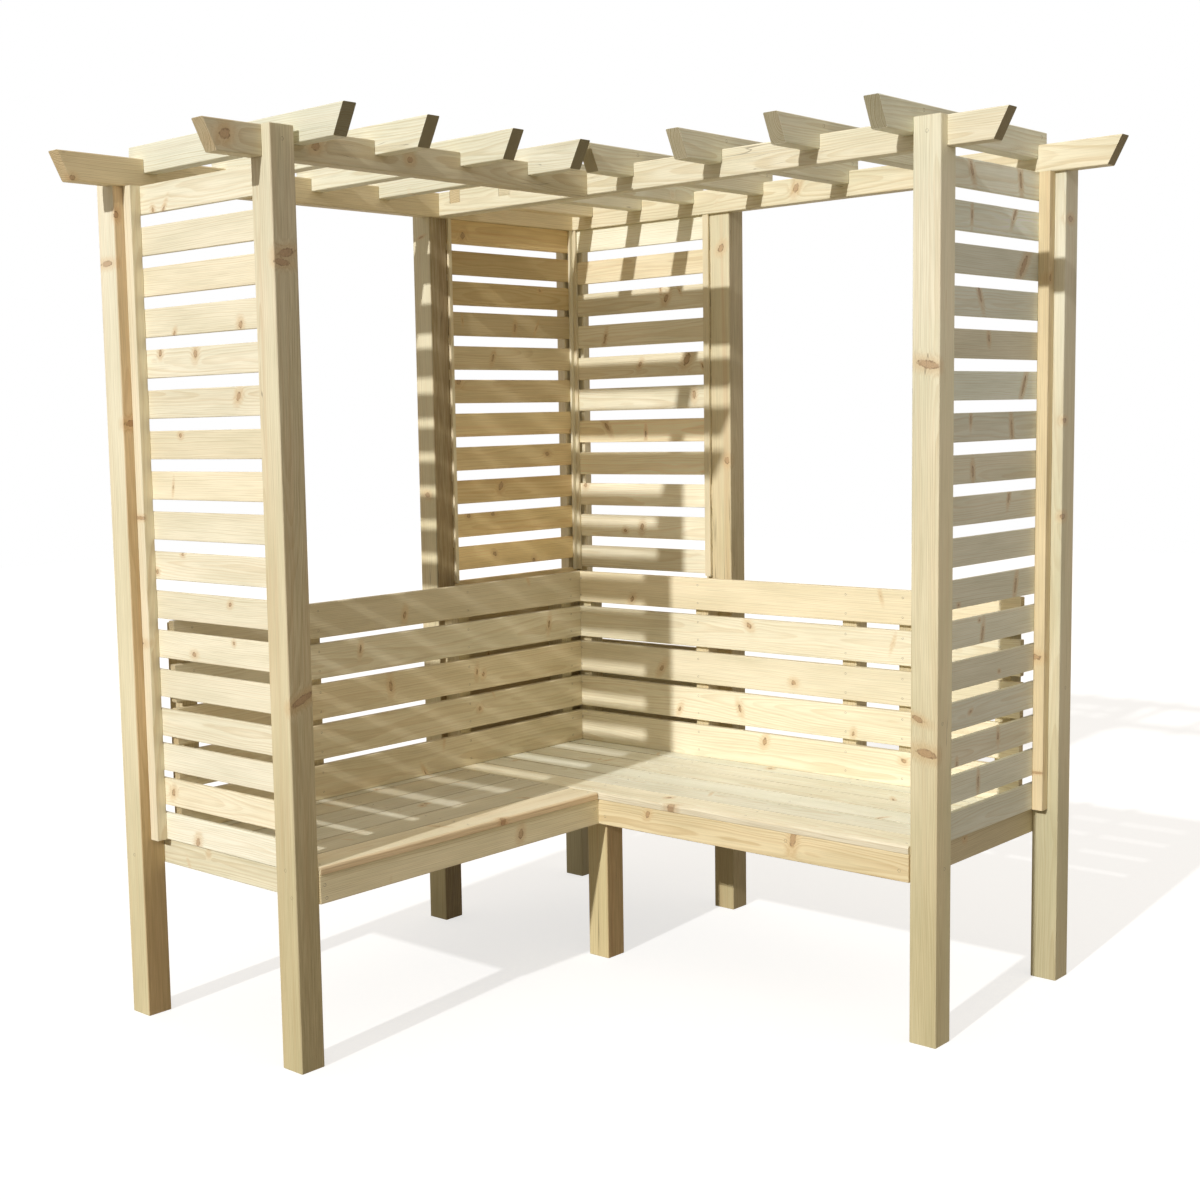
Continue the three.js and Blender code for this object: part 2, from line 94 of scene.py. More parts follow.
class Bench:
    """Adds nodes to one material or world and joins them."""

    def __init__(self, owner):
        self.owner = owner
        owner.use_nodes = True
        self.tree = owner.node_tree
        self.tree.nodes.clear()

    def put(self, socket, value):
        """Joins an output to the socket, or writes a number, a vector or a colour into it."""
        if isinstance(value, bpy.types.NodeSocket):
            self.tree.links.new(value, socket)
        else:
            socket.default_value = (*value, 1) if socket.type == "RGBA" else value

    def node(self, kind, *values, **settings):
        """A new node: settings are its own properties, and values fill its inputs in order."""
        node = self.tree.nodes.new("ShaderNode" + kind)
        for setting, choice in settings.items():
            setattr(node, setting, choice)
        for socket, value in zip(node.inputs, values):
            self.put(socket, value)
        return node

    def add(self, kind, *values, **settings):
        """The first output of a new node."""
        return self.node(kind, *values, **settings).outputs[0]

    def math(self, operation, *values, clamp=False):
        return self.add("Math", *values, operation=operation, use_clamp=clamp)

    def times(self, first, second):
        return self.math("MULTIPLY", first, second)

    def times_plus(self, first, second, third):
        return self.math("MULTIPLY_ADD", first, second, third)

    def vector(self, operation, *values):
        node = self.node("VectorMath", *values, operation=operation)
        return node.outputs["Value" if operation in ("LENGTH", "DOT_PRODUCT") else "Vector"]

    def split(self, vector):
        return self.node("SeparateXYZ", vector).outputs

    def join(self, x, y, z):
        return self.add("CombineXYZ", x, y, z)

    def attribute(self, name, output="Vector"):
        return self.node("Attribute", attribute_name=name).outputs[output]

    def place(self):
        """Where a point is on the object, in metres."""
        return self.node("TexCoord").outputs["Object"]

    def noise(self, vector, scale=1.0, detail=2.0, roughness=0.5, output=0):
        node = self.node("TexNoise", vector)
        for name, value in (("Scale", scale), ("Detail", detail), ("Roughness", roughness)):
            node.inputs[name].default_value = value
        return node.outputs[output]

    def grain_noise(self, log, along, across, detail=2.0, roughness=0.5, output=0):
        """Noise drawn out along the grain: so many waves a metre along it and across it."""
        drawn_out = self.vector("MULTIPLY", log, (along, across, across))
        return self.noise(drawn_out, 1.0, detail, roughness, output)

    def step(self, value, low, high, to_low=0.0, to_high=1.0):
        """A soft step from to_low to to_high as value goes from low to high."""
        return self.add("MapRange", value, low, high, to_low, to_high, interpolation_type="SMOOTHSTEP")

    def mix(self, share, first, second, blend="MIX"):
        node = self.node("Mix", share, data_type="RGBA", blend_type=blend)
        self.put(node.inputs[6], first)
        self.put(node.inputs[7], second)
        return node.outputs[2]

    def tint(self, colour, by):
        return self.mix(1.0, colour, by, "MULTIPLY")

    def show(self, shader):
        """Joins the last shader to the output, and hands back the material or world."""
        self.node("OutputWorld" if isinstance(self.owner, bpy.types.World) else "OutputMaterial", shader)
        return self.owner

    def shade(self, colour, roughness, height, depth, metallic=0.0):
        """The last nodes of a material: bump, surface and output."""
        bump, surface = self.node("Bump"), self.node("BsdfPrincipled")
        for node, name, value in ((bump, "Strength", BUMP_STRENGTH), (bump, "Distance", depth),
                                  (bump, "Height", height), (surface, "Metallic", metallic),
                                  (surface, "Base Color", colour), (surface, "Roughness", roughness),
                                  (surface, "Normal", bump.outputs[0])):
            self.put(node.inputs[name], value)
        return self.show(surface.outputs[0])


# %% [markdown]
# ## Light
# Light falls almost straight along the left wing towards the back, from a little above, so
# the faces towards the front are bright and the sides only get a grazing touch of it. One
# sun lamp does this, with a dim, slightly warm world that is brighter overhead, as a soft
# light hung above a studio would be. Their strengths are chosen so that a lit board
# renders about as bright as its colour is written. Only the camera and reflections see
# the world as plain white.

# %% Light and world
SUN_FROM = Vector((0.106, -1.0, 0.5))
SUN_STRENGTH, SUN_ANGLE, SUN_COLOUR = 2.53, math.radians(1.0), (1.0, 0.995, 0.985)
LEVEL_SKY, TOP_SKY, SKY_COLOUR = 0.175, 0.74, (1.0, 0.89, 0.75)

sun_data = bpy.data.lights.new("sun", "SUN")
sun_data.energy, sun_data.angle, sun_data.color = SUN_STRENGTH, SUN_ANGLE, SUN_COLOUR
sun = bpy.data.objects.new("sun", sun_data)
sun.rotation_mode = "QUATERNION"
sun.rotation_quaternion = SUN_FROM.to_track_quat("Z", "Y")
bpy.context.scene.collection.objects.link(sun)


def plain_rays(bench):
    """1 for rays that come straight from the camera, a gloss or clear glass, otherwise 0."""
    rays = bench.node("LightPath").outputs
    straight = bench.math("MAXIMUM", rays["Is Camera Ray"], rays["Is Glossy Ray"])
    return bench.math("MAXIMUM", straight, rays["Is Transmission Ray"])


bench = Bench(bpy.data.worlds.new("studio"))
height = bench.split(bench.node("TexCoord").outputs["Generated"])["Z"]
dim = bench.add("Background", SKY_COLOUR, bench.add("MapRange", height, 0.0, 1.0, LEVEL_SKY, TOP_SKY))
white = bench.add("Background", WHITE)
bpy.context.scene.world = bench.show(bench.add("MixShader", plain_rays(bench), dim, white))
bpy.context.scene.view_settings.view_transform = "Standard"
print("sun", SUN_STRENGTH, "sky", LEVEL_SKY, "to", TOP_SKY)

# %% [markdown]
# ## Floor
# A wide pale floor catches the shadow. Its own colour gives light back to the seat, and
# for the camera it is lifted to near white, so that only a light shadow is left on it.

# %% Floor
FLOOR_HALF = 14.0
FLOOR_COLOUR, FLOOR_SEEN, FLOOR_GLOW = (0.34, 0.30, 0.24), (0.50, 0.50, 0.50), 0.67

floor_work = bmesh.new()
bmesh.ops.create_grid(floor_work, x_segments=1, y_segments=1, size=FLOOR_HALF)
floor_mesh = bpy.data.meshes.new("floor")
floor_work.to_mesh(floor_mesh)
floor_work.free()
floor = bpy.data.objects.new("floor", floor_mesh)
bpy.context.scene.collection.objects.link(floor)

bench = Bench(bpy.data.materials.new("pale floor"))
real = bench.add("BsdfDiffuse", FLOOR_COLOUR)
seen = bench.add("AddShader", bench.add("BsdfDiffuse", FLOOR_SEEN), bench.add("Emission", WHITE, FLOOR_GLOW))
floor_mesh.materials.append(bench.show(bench.add("MixShader", plain_rays(bench), real, seen)))
print("floor", 2 * FLOOR_HALF, "m wide")

# %% [markdown]
# ## Pine: knots
# A board is a slice of a log. If each point of a board knows where it lay in the log,
# then one pattern of rings round the heart of the log gives straight lines on one face,
# long arches on another and arcs on the sawn end, as real wood does. Each timber carries
# that place as an attribute called log_place: along the log, and two distances from its
# heart. It also carries the places and sizes of up to three knots. Near a knot the rings
# bulge, so that the grain flows round it.

# %% Knots
KNOT_CORE, KNOT_RIM, KNOT_HALO = (0.50, 0.30, 0.15), (0.20, 0.115, 0.055), (0.66, 0.45, 0.22)
# Added to a knot's radius, so that nothing is divided by 0 where there is no knot
TINY = 0.0001


def knot_field(bench, log, squeeze):
    """How far the nearest knot is, in knot radii, and how much the knots push the rings."""
    ragged = bench.math("SUBTRACT", bench.noise(log, 160), 0.5)
    ratios, pushes = [], []
    for letter, size in zip("abc", bench.split(bench.attribute("knot_sizes"))):
        apart = bench.vector("SUBTRACT", log, bench.attribute("knot_" + letter))
        apart = bench.vector("MULTIPLY", apart, (1.0, 1.0, squeeze))
        lengthwise = bench.vector("DOT_PRODUCT", apart, bench.attribute("run_" + letter))
        square = bench.vector("DOT_PRODUCT", apart, apart)
        short = bench.math("SUBTRACT", square, bench.times(lengthwise, lengthwise))
        distance = bench.math("SQRT", bench.math("MAXIMUM", short, 0.0))
        ratio = bench.math("DIVIDE", distance, bench.math("ADD", size, TINY))
        ratio = bench.times_plus(ragged, 0.9, ratio)
        fall = bench.times(bench.times(ratio, ratio), -0.22)
        ratios.append(ratio)
        pushes.append(bench.times(bench.math("POWER", math.e, fall), size))
    nearest = bench.math("MINIMUM", bench.math("MINIMUM", ratios[0], ratios[1]), ratios[2])
    return nearest, bench.math("ADD", bench.math("ADD", pushes[0], pushes[1]), pushes[2])


def draw_knots(bench, log, nearest, colour):
    """A stained halo, a core with rings of its own and a broken dark rim."""
    colour = bench.mix(bench.times(bench.step(nearest, 3.6, 0.9), 0.50), colour, KNOT_HALO)
    rings = bench.math("SINE", bench.times(nearest, 19.0))
    core = bench.mix(bench.times_plus(rings, 0.22, 0.3), KNOT_CORE, KNOT_RIM)
    inside = bench.step(nearest, 1.12, 0.8)
    colour = bench.mix(bench.times(inside, 0.66), colour, core)
    rim = bench.times(bench.step(nearest, 0.70, 0.92), bench.step(nearest, 1.15, 0.96))
    broken = bench.step(bench.noise(log, 95, 1), 0.40, 0.62, 0.15, 0.75)
    return bench.mix(bench.times(rim, broken), colour, KNOT_RIM), inside


# %% [markdown]
# ## Pine: rings and plain wood
# A growth ring starts pale and ends in a narrow dark band. The distance from the heart,
# warped a little and divided by the width of a ring, says in which ring a point lies and
# how far into it. Over the rings lie fine streaks, soft patches and a warmer heart.

# %% Rings and plain wood
RING_WIDTH, RING_WANDER = 0.0042, 0.034
HEART = (0.76, 0.55, 0.32)


def growth_rings(bench, log, bulge):
    """How dark the band of the ring is at a point, and how far the point is from the heart."""
    slow = bench.vector("SUBTRACT", bench.grain_noise(log, 1.6, 8.0, output="Color"), (0.5, 0.5, 0.5))
    warped = bench.vector("MULTIPLY_ADD", slow, (0.0, RING_WANDER, RING_WANDER), log)
    across, through = bench.split(warped)[1:]
    radius = bench.vector("LENGTH", bench.join(0.0, across, through))
    radius = bench.math("ADD", radius, bulge)
    radius = bench.times_plus(bench.grain_noise(log, 14.0, 60.0), 0.0016, radius)
    uneven = bench.noise(bench.join(radius, 0.0, 0.0), 55, 1)
    phase = bench.times_plus(radius, 1 / RING_WIDTH, bench.times(uneven, 2.4))
    within = bench.math("FRACT", phase)
    number = bench.node("TexWhiteNoise", noise_dimensions="1D")
    bench.put(number.inputs["W"], bench.math("FLOOR", phase))
    band = bench.times(bench.step(within, 0.25, 0.86), bench.step(within, 1.0, 0.9))
    return bench.times(band, bench.times_plus(number.outputs["Value"], 0.6, 0.4)), radius


def plain_wood(bench, log, band, radius, fibre, pale, late, contrast):
    """Pale and late wood, a warmer heart, fine streaks and soft patches."""
    colour = bench.mix(bench.times(band, contrast), pale, late)
    colour = bench.mix(bench.times(bench.step(radius, 0.052, 0.016), 0.16), colour, HEART)
    streak = bench.step(fibre, 0.35, 0.75, 1.0, 0.86)
    patch = bench.step(bench.grain_noise(log, 3.0, 16.0, 3), 0.3, 0.75, 1.02, 0.90)
    for light, in_blue in ((streak, 1.2), (patch, 1.3)):
        colour = bench.tint(colour, bench.join(light, light, bench.math("POWER", light, in_blue)))
    return colour


# %% [markdown]
# ## Pine: what happened to the timber, and painted shade
# Resin leaves orange streaks and the preservative leaves green clouds. Thick timber cracks
# as it dries, and a post is drawn darker towards its foot and paler towards its top. Sides
# in the shade get painted shade, browner or redder, sawn ends drink more of everything,
# and edges are rubbed pale.
# Each of these is a small function that takes a colour and hands back a changed one.

# %% Stains, cracks, tints by height and painted shade
GREEN_TINT, RESIN, CRACK = (0.62, 0.62, 0.38), (0.62, 0.41, 0.21), (0.16, 0.11, 0.06)
FOOT_TINT, TOP_TINT = (0.62, 0.58, 0.42), (1.10, 1.15, 1.30)
PAINTED_SHADE_BROWN, PAINTED_SHADE_RED = (0.42, 0.34, 0.25), (1.06, 0.90, 0.77)
CLEAN_END, STAINED_END, RING_END = (0.90, 0.84, 0.74), (0.34, 0.31, 0.24), (0.34, 0.28, 0.20)
RUBBED, RUBBED_SHARE = (0.86, 0.76, 0.54), 0.10


def stains(bench, log, tone, colour, resin, green):
    """Resin streaks, green clouds, and the lightness and warmth of this one timber."""
    lightness, warmth, greenness = tone
    gum = bench.times(bench.step(bench.grain_noise(log, 0.9, 55.0), 0.50, 0.72), resin)
    gum = bench.math("MULTIPLY", gum, bench.math("MAXIMUM", warmth, 0.3), clamp=True)
    colour = bench.mix(gum, colour, RESIN)
    cloud = bench.times_plus(bench.step(bench.noise(bench.place(), 4.0, 3), 0.42, 0.7), 0.65, 0.35)
    colour = bench.mix(bench.times(bench.times(cloud, greenness), green), colour, GREEN_TINT)
    red = bench.times_plus(lightness, 0.12, 0.92)
    less_green = bench.times(red, bench.times_plus(warmth, -0.08, 1.04))
    less_blue = bench.times(red, bench.times_plus(warmth, -0.22, 1.11))
    return bench.tint(colour, bench.join(red, less_green, less_blue))


def drying_cracks(bench, log):
    """Fine cracks along the grain, in some places only."""
    crack = bench.math("SUBTRACT", bench.grain_noise(log, 1.1, 62.0, 1, 0.4), 0.5)
    crack = bench.step(bench.math("ABSOLUTE", crack), 0.006, 0.001)
    return bench.times(crack, bench.step(bench.grain_noise(log, 2.3, 9.0, 1), 0.60, 0.66))


def height_tints(bench, colour, foot):
    """A post is drawn darker towards its foot and paler towards its top."""
    height = bench.split(bench.place())[2]
    colour = bench.tint(colour, bench.mix(bench.times(bench.step(height, 1.0, 0.1), foot), WHITE, FOOT_TINT))
    return bench.tint(colour, bench.mix(bench.step(height, 0.9, 2.1), WHITE, TOP_TINT))


def sides_and_ends(bench, band, fibre, greenness, colour, sawn_end):
    """Painted shade, browner and redder, on the sides listed for it, then darker sawn ends and paler edges."""
    # Painted shade: the listed sides are tinted browner and redder
    shade_brown = bench.times(bench.attribute("painted_shade_side", "Fac"), bench.step(fibre, 0.25, 0.7, 0.8, 1.2))
    for share, by in ((shade_brown, PAINTED_SHADE_BROWN), (bench.attribute("painted_warm_shade", "Fac"), PAINTED_SHADE_RED)):
        colour = bench.tint(colour, bench.mix(share, WHITE, by))
    cut = bench.mix(bench.times(band, 0.5), bench.mix(greenness, CLEAN_END, STAINED_END), RING_END)
    colour = bench.mix(sawn_end, colour, bench.tint(colour, cut))
    return bench.mix(bench.times(bench.attribute("arris", "Fac"), RUBBED_SHARE), colour, RUBBED)


# %% [markdown]
# ## Pine: the finish as a whole
# Here the parts come together. The late wood and the knots are harder, so they stand a
# little proud in the bump and are smoother, and the fibres and pores give the fine
# roughness of planed wood.

# %% Pine finish
FIBRES_PER_METRE, GRAIN_DEPTH = 420.0, 0.0007


def pine(name, pale, late, squeeze=0.35, contrast=0.6, green=0.3, resin=0.12, cracked=False, foot=0.0):
    """A pine finish: pale and late are the two colours of a growth ring."""
    bench = Bench(bpy.data.materials.new(name))
    log = bench.attribute("log_place")
    tone = bench.split(bench.attribute("tone"))
    sawn_end = bench.attribute("sawn_end", "Fac")
    nearest, bulge = knot_field(bench, log, squeeze)
    band, radius = growth_rings(bench, log, bulge)
    drift = bench.times(bulge, FIBRES_PER_METRE)
    fibre_at = bench.vector("MULTIPLY", log, (7.0, FIBRES_PER_METRE, FIBRES_PER_METRE))
    fibre = bench.noise(bench.vector("ADD", fibre_at, bench.join(0.0, drift, drift)), 1.0, 3, 0.6)

    colour = plain_wood(bench, log, band, radius, fibre, pale, late, contrast)
    colour = stains(bench, log, tone, colour, resin, green)
    colour, inside = draw_knots(bench, log, nearest, colour)
    height = bench.times_plus(band, 0.35, bench.times(fibre, 0.7))
    height = bench.times_plus(bench.grain_noise(log, 38.0, 1300.0, 1), 0.35, height)
    height = bench.times_plus(inside, 0.4, height)
    if cracked:
        crack = drying_cracks(bench, log)
        colour = bench.mix(bench.times(crack, 0.55), colour, CRACK)
        height = bench.times_plus(crack, -1.2, height)
    if foot > 0:
        colour = height_tints(bench, colour, foot)
    colour = sides_and_ends(bench, band, fibre, tone[2], colour, sawn_end)

    roughness = 0.62
    for part, change in ((band, -0.10), (fibre, 0.14), (inside, -0.14)):
        roughness = bench.times_plus(part, change, roughness)
    roughness = bench.math("MULTIPLY_ADD", sawn_end, 0.14, roughness, clamp=True)
    return bench.shade(colour, roughness, height, GRAIN_DEPTH)


# %% [markdown]
# ## Six batches of timber
# The posts have taken up more of the green preservative, are darker towards their feet and a
# little paler towards their tops. The roof timbers and seat rails are warmer, the slats and
# boards are the palest.

# %% Timber finishes
FINISH = {
    "post_timber": pine("post pine", (0.81, 0.73, 0.505), (0.62, 0.495, 0.285), squeeze=1.0,
                        contrast=0.55, green=0.34, resin=0.42, cracked=True, foot=0.6),
    "roof_timber": pine("roof pine", (0.86, 0.755, 0.525), (0.64, 0.48, 0.25), squeeze=0.6,
                        contrast=0.60, green=0.12, resin=0.22, cracked=True),
    "slat_timber": pine("slat pine", (0.91, 0.83, 0.62), (0.69, 0.535, 0.31), contrast=0.52, green=0.10,
                        resin=0.20),
    "rail_timber": pine("rail pine", (0.86, 0.75, 0.50), (0.62, 0.46, 0.23), contrast=0.62, green=0.10),
    "board_timber": pine("board pine", (0.91, 0.835, 0.63), (0.70, 0.55, 0.33), contrast=0.50, green=0.08),
    "frame_timber": pine("frame pine", (0.78, 0.68, 0.46), (0.58, 0.44, 0.24), contrast=0.6, green=0.35),
}
KINDS = {"post": "post_timber", "leg": "post_timber", "beam": "roof_timber", "rafter": "roof_timber",
         "panel": "slat_timber", "rail": "rail_timber", "joist": "frame_timber", "back_frame": "frame_timber",
         "back_board": "board_timber", "seat_board": "board_timber"}
SLOT_OF = {n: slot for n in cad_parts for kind, slot in KINDS.items() if n.startswith(kind + "_")}
print("finishes", sorted(FINISH), "nodes with a slot", len(SLOT_OF))

# %% [markdown]
# ## Giving each timber its place in a log
# The helper below takes the length, width and thickness of one timber, picks a heart line
# for its log from a seed made of the timber's own name, and turns any point into its place
# in that log. The same name gives the same board each time. Most boards are sawn flat, with
# the heart off one face, and some are sawn with the heart off one edge.

# %% The log of a timber
MILLI = 0.001
SQUARE_RATIO, FLAT_SAWN_SHARE, ROUND_KNOT_SHARE = 1.3, 0.68, 0.45
# The highest chance of a spare knot. In a short timber it is the length over KNOT_LENGTH
KNOT_CHANCE, KNOT_LENGTH = 0.62, 2.4
# A knot goes right through a timber that is thinner than this
THIN = 0.03


class Log:
    """Where one timber lay in its log, and its knots."""

    def __init__(self, name, verts):
        low = Vector([min(v.co[i] for v in verts) for i in range(3)])
        high = Vector([max(v.co[i] for v in verts) for i in range(3)])
        self.size, self.middle = high - low, (high + low) / 2
        self.through, self.across, self.along = sorted(range(3), key=lambda i: self.size[i])
        self.square = self.size[self.across] < SQUARE_RATIO * self.size[self.through]
        draw = self.draw = random.Random(name)
        if self.square or draw.random() < FLAT_SAWN_SHARE:
            self.heart = (draw.uniform(-0.35, 0.35) * self.size[self.across],
                          draw.choice((-1, 1)) * draw.uniform(0.022, 0.065))
        else:
            self.heart = draw.choice((-1, 1)) * draw.uniform(0.06, 0.10), draw.uniform(-0.01, 0.01)
        self.lean = draw.uniform(-0.012, 0.012), draw.uniform(-0.022, 0.022)
        self.start = draw.uniform(-30, 30)

    def place(self, point):
        """A point's place in the log: along it, then across and through, from its heart."""
        along, across, through = (point[i] - self.middle[i] for i in (self.along, self.across, self.through))
        return Vector((along + self.start, across - self.heart[0] + self.lean[0] * along,
                       through - self.heart[1] + self.lean[1] * along))

    def run(self, spot, stretch, slant):
        """Which way a knot is drawn out, and how far: 90 degrees is straight across the grain."""
        off_across, off_through = (abs(spot[i] - self.middle[i]) for i in (self.across, self.through))
        length = math.sqrt(max(0.0, 1 - 1 / stretch ** 2))
        over = math.sin(math.radians(slant)) * length
        edge_on = self.square and off_across > off_through
        return Vector((math.cos(math.radians(slant)) * length, 0 if edge_on else over, over if edge_on else 0))

    def spare_knot(self):
        """A drawn place with a round knot, one drawn out across the grain, or none."""
        draw, spot = self.draw, self.middle.copy()
        spot[self.along] += draw.uniform(-0.46, 0.46) * self.size[self.along]
        spot[self.across] += draw.uniform(-0.45, 0.45) * self.size[self.across]
        if self.square:
            face = draw.choice((self.across, self.through))
            spot[face] = self.middle[face] + draw.choice((-0.5, 0.5)) * self.size[face]
        if draw.random() < ROUND_KNOT_SHARE:
            radius, stretch, slant = draw.uniform(0.0035, 0.0075), draw.uniform(1.05, 1.6), draw.uniform(0, 180)
        else:
            radius, stretch, slant = draw.uniform(0.0022, 0.0042), draw.uniform(2.5, 5.0), draw.uniform(55, 125)
        if draw.random() > min(KNOT_CHANCE, self.size[self.along] / KNOT_LENGTH):
            radius = 0.0
        return spot, radius, stretch, slant

    def knots(self, listed, spare):
        """Up to three knots, each with its place in the log, its run and its radius."""
        chosen = []
        for *millimetres, stretch, slant in listed:
            x, y, z, radius = (v * MILLI for v in millimetres)
            spot = Vector((x, y, z))
            if self.size[self.through] < THIN:
                spot[self.through] = self.middle[self.through]
            chosen.append((spot, radius, stretch, slant))
        while spare and len(chosen) < 3:
            chosen.append(self.spare_knot())
        own = [(self.place(spot), self.run(spot, stretch, slant), radius) for spot, radius, stretch, slant in chosen]
        return own + [(Vector(), Vector(), 0.0)] * (3 - len(own))


# %% [markdown]
# ## Writing the grain on a mesh
# The pine finish reads its numbers from attributes. Those that change from point to point
# go on the corners of the mesh, and those that belong to one side go on its faces.

# %% Grain helper
POINT_LAYERS = ("log_place", "knot_a", "knot_b", "knot_c", "run_a", "run_b", "run_c", "knot_sizes", "tone")
FACE_LAYERS = ("sawn_end", "arris", "painted_shade_side", "painted_warm_shade")
FACES_ALONG, FACES_SQUARELY = 0.8, 0.97
NO_SIDE = (0, 0, 0)


def new_work():
    """An empty bmesh that can hold timbers and their grain."""
    work = bmesh.new()
    for name in POINT_LAYERS:
        work.verts.layers.float_vector.new(name)
    for name in FACE_LAYERS:
        work.faces.layers.float.new(name)
    return work


def lay_grain(work, verts, name, knots=(), spare_knots=True, tone=None, painted_shade_side=NO_SIDE, painted_warm_shade=NO_SIDE):
    """Writes the place in the log, the knots and the tones of the one timber made of verts."""
    log = Log(name, verts)
    own = log.knots(knots, spare_knots)
    sizes = Vector([radius for _, _, radius in own])
    shade = Vector(tone or [log.draw.random() for _ in range(3)])
    points, sides = work.verts.layers.float_vector, work.faces.layers.float
    for vert in verts:
        vert[points["log_place"]] = log.place(vert.co)
        for letter, (spot, way, _) in zip("abc", own):
            vert[points["knot_" + letter]] = spot
            vert[points["run_" + letter]] = way
        vert[points["knot_sizes"]] = sizes
        vert[points["tone"]] = shade
    for face in {face for vert in verts for face in vert.link_faces}:
        face.normal_update()
        lengthways = abs(face.normal[log.along])
        at_edge = max(abs(n) for n in face.normal) < FACES_SQUARELY
        face[sides["sawn_end"]] = float(lengthways > FACES_ALONG)
        face[sides["arris"]] = float(at_edge and lengthways < FACES_ALONG)
        # Painted shade: a side gets as much of it as its face turns the listed way
        for layer, way in (("painted_shade_side", painted_shade_side), ("painted_warm_shade", painted_warm_shade)):
            face[sides[layer]] = max(0.0, face.normal.dot(Vector(way)))


# %% [markdown]
# ## Turning a work mesh into a finished piece
# Every piece sits at the origin with its place in its mesh, rides on the one body and
# hides the solids it stands for. Smooth shading with weighted normals keeps the wide
# faces flat and lets light run only round the small rounded edges.

# %% Piece helper
FACE_WEIGHT = 80


def finish_piece(work, name, slot, nodes, material=None):
    """Makes the object from the bmesh, gives it its finish and body, and hides its nodes."""
    bmesh.ops.recalc_face_normals(work, faces=work.faces)
    mesh = bpy.data.meshes.new(name)
    work.to_mesh(mesh)
    work.free()
    if "custom_normal" in mesh.attributes:
        mesh.attributes.remove(mesh.attributes["custom_normal"])
    mesh.materials.append(material or FINISH[slot])
    mesh.polygons.foreach_set("use_smooth", [True] * len(mesh.polygons))
    piece = bpy.data.objects.new(name, mesh)
    bpy.context.scene.collection.objects.link(piece)
    weighted = piece.modifiers.new("even shading", "WEIGHTED_NORMAL")
    weighted.mode = "FACE_AREA"
    weighted.weight = FACE_WEIGHT
    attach(piece, "root")
    if nodes:
        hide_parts(*nodes)
    return piece


# %% [markdown]
# ## What sets single timbers apart
# No two timbers look alike: one post is paler and one board is warmer. Some sides also get
# painted shade, browner or redder. The tables below hold what is plain to see on single
# timbers. A timber that isn't listed gets its knots and tone from the seed of its name,
# within the range of its bundle.

# %% Knots, tones and sides of single timbers
# Knots on the timbers that show them plainly: place and half width in millimetres, how
# many times longer than wide, and the slant in degrees from the grain
KNOTS = {
    "beam_left_front": [(-280, -919, 2138, 11, 1.35, 20), (-280, -659, 2137, 9, 1.4, 20),
        (-280, -361, 2135, 7, 1.3, 0)],
    "beam_left_outer": [(-844, -938, 2107, 6, 1.2, 0)],
    "beam_right_outer": [(-11, 896, 2142, 8, 1.6, 60)],
    "post_left_front": [(-250, -783, 1889, 9, 2.6, 80), (-250, -796, 1868, 7, 3.0, 95),
        (-250, -780, 880, 8.5, 4.0, 66)],
    "post_left_outer": [(-895, -818, 1914, 7, 3.0, 90), (-856, -790, 1521, 8, 2.6, 85),
        (-856, -811, 2030, 6, 1.5, 0)],
    "post_right_back": [(-279, 908, 1998, 8, 1.5, 40), (-263, 908, 1373, 8, 1.3, 0)],
    "post_right_front": [(750, 270, 1612, 9, 3.0, 102), (728, 270, 789, 6, 2.8, 110), (751, 270, 709, 10, 2.4, 100)],
    "post_right_outer": [(779, 935, 1982, 7, 1.6, 90), (779, 916, 1474, 6, 1.5, 90), (779, 915, 1229, 7, 1.5, 90)],
    "back_board_left_5": [(-779, 55, 960, 6, 2.2, 80)],
    "back_board_left_4": [(-779, -118, 881, 5, 2.6, 80), (-779, 677, 870, 5, 3.0, 80)],
    "back_board_left_3": [(-779, -7, 763, 7, 2.4, 95), (-779, 347, 759, 5, 2.4, 85)],
    "back_board_right_5": [(-569, 830, 947, 6.5, 1.6, 60)],
    "back_board_right_3": [(-456, 830, 741, 6.5, 2.2, 55), (19, 830, 738, 7, 1.2, 0)],
    "back_board_right_2": [(-389, 830, 620, 5, 2.2, 65), (-168, 830, 643, 5.5, 2.4, 110),
        (215, 830, 612, 5, 1.6, 80)],
    "back_board_right_1": [(-81, 830, 555, 7.5, 1.6, 70), (374, 830, 553, 6.5, 1.3, 0)],
    "rail_left_front": [(-245, -54, 426, 8, 1.6, 75)],
    "rail_right_front": [(387, 265, 450, 8, 2.8, 80), (-73, 265, 444, 6, 1.6, 60)],
    "seat_board_right_1": [(7, 262, 475, 8, 1.5, 30)],
    "seat_board_left_1": [(-242, -124, 475, 6, 1.8, 30)],
}
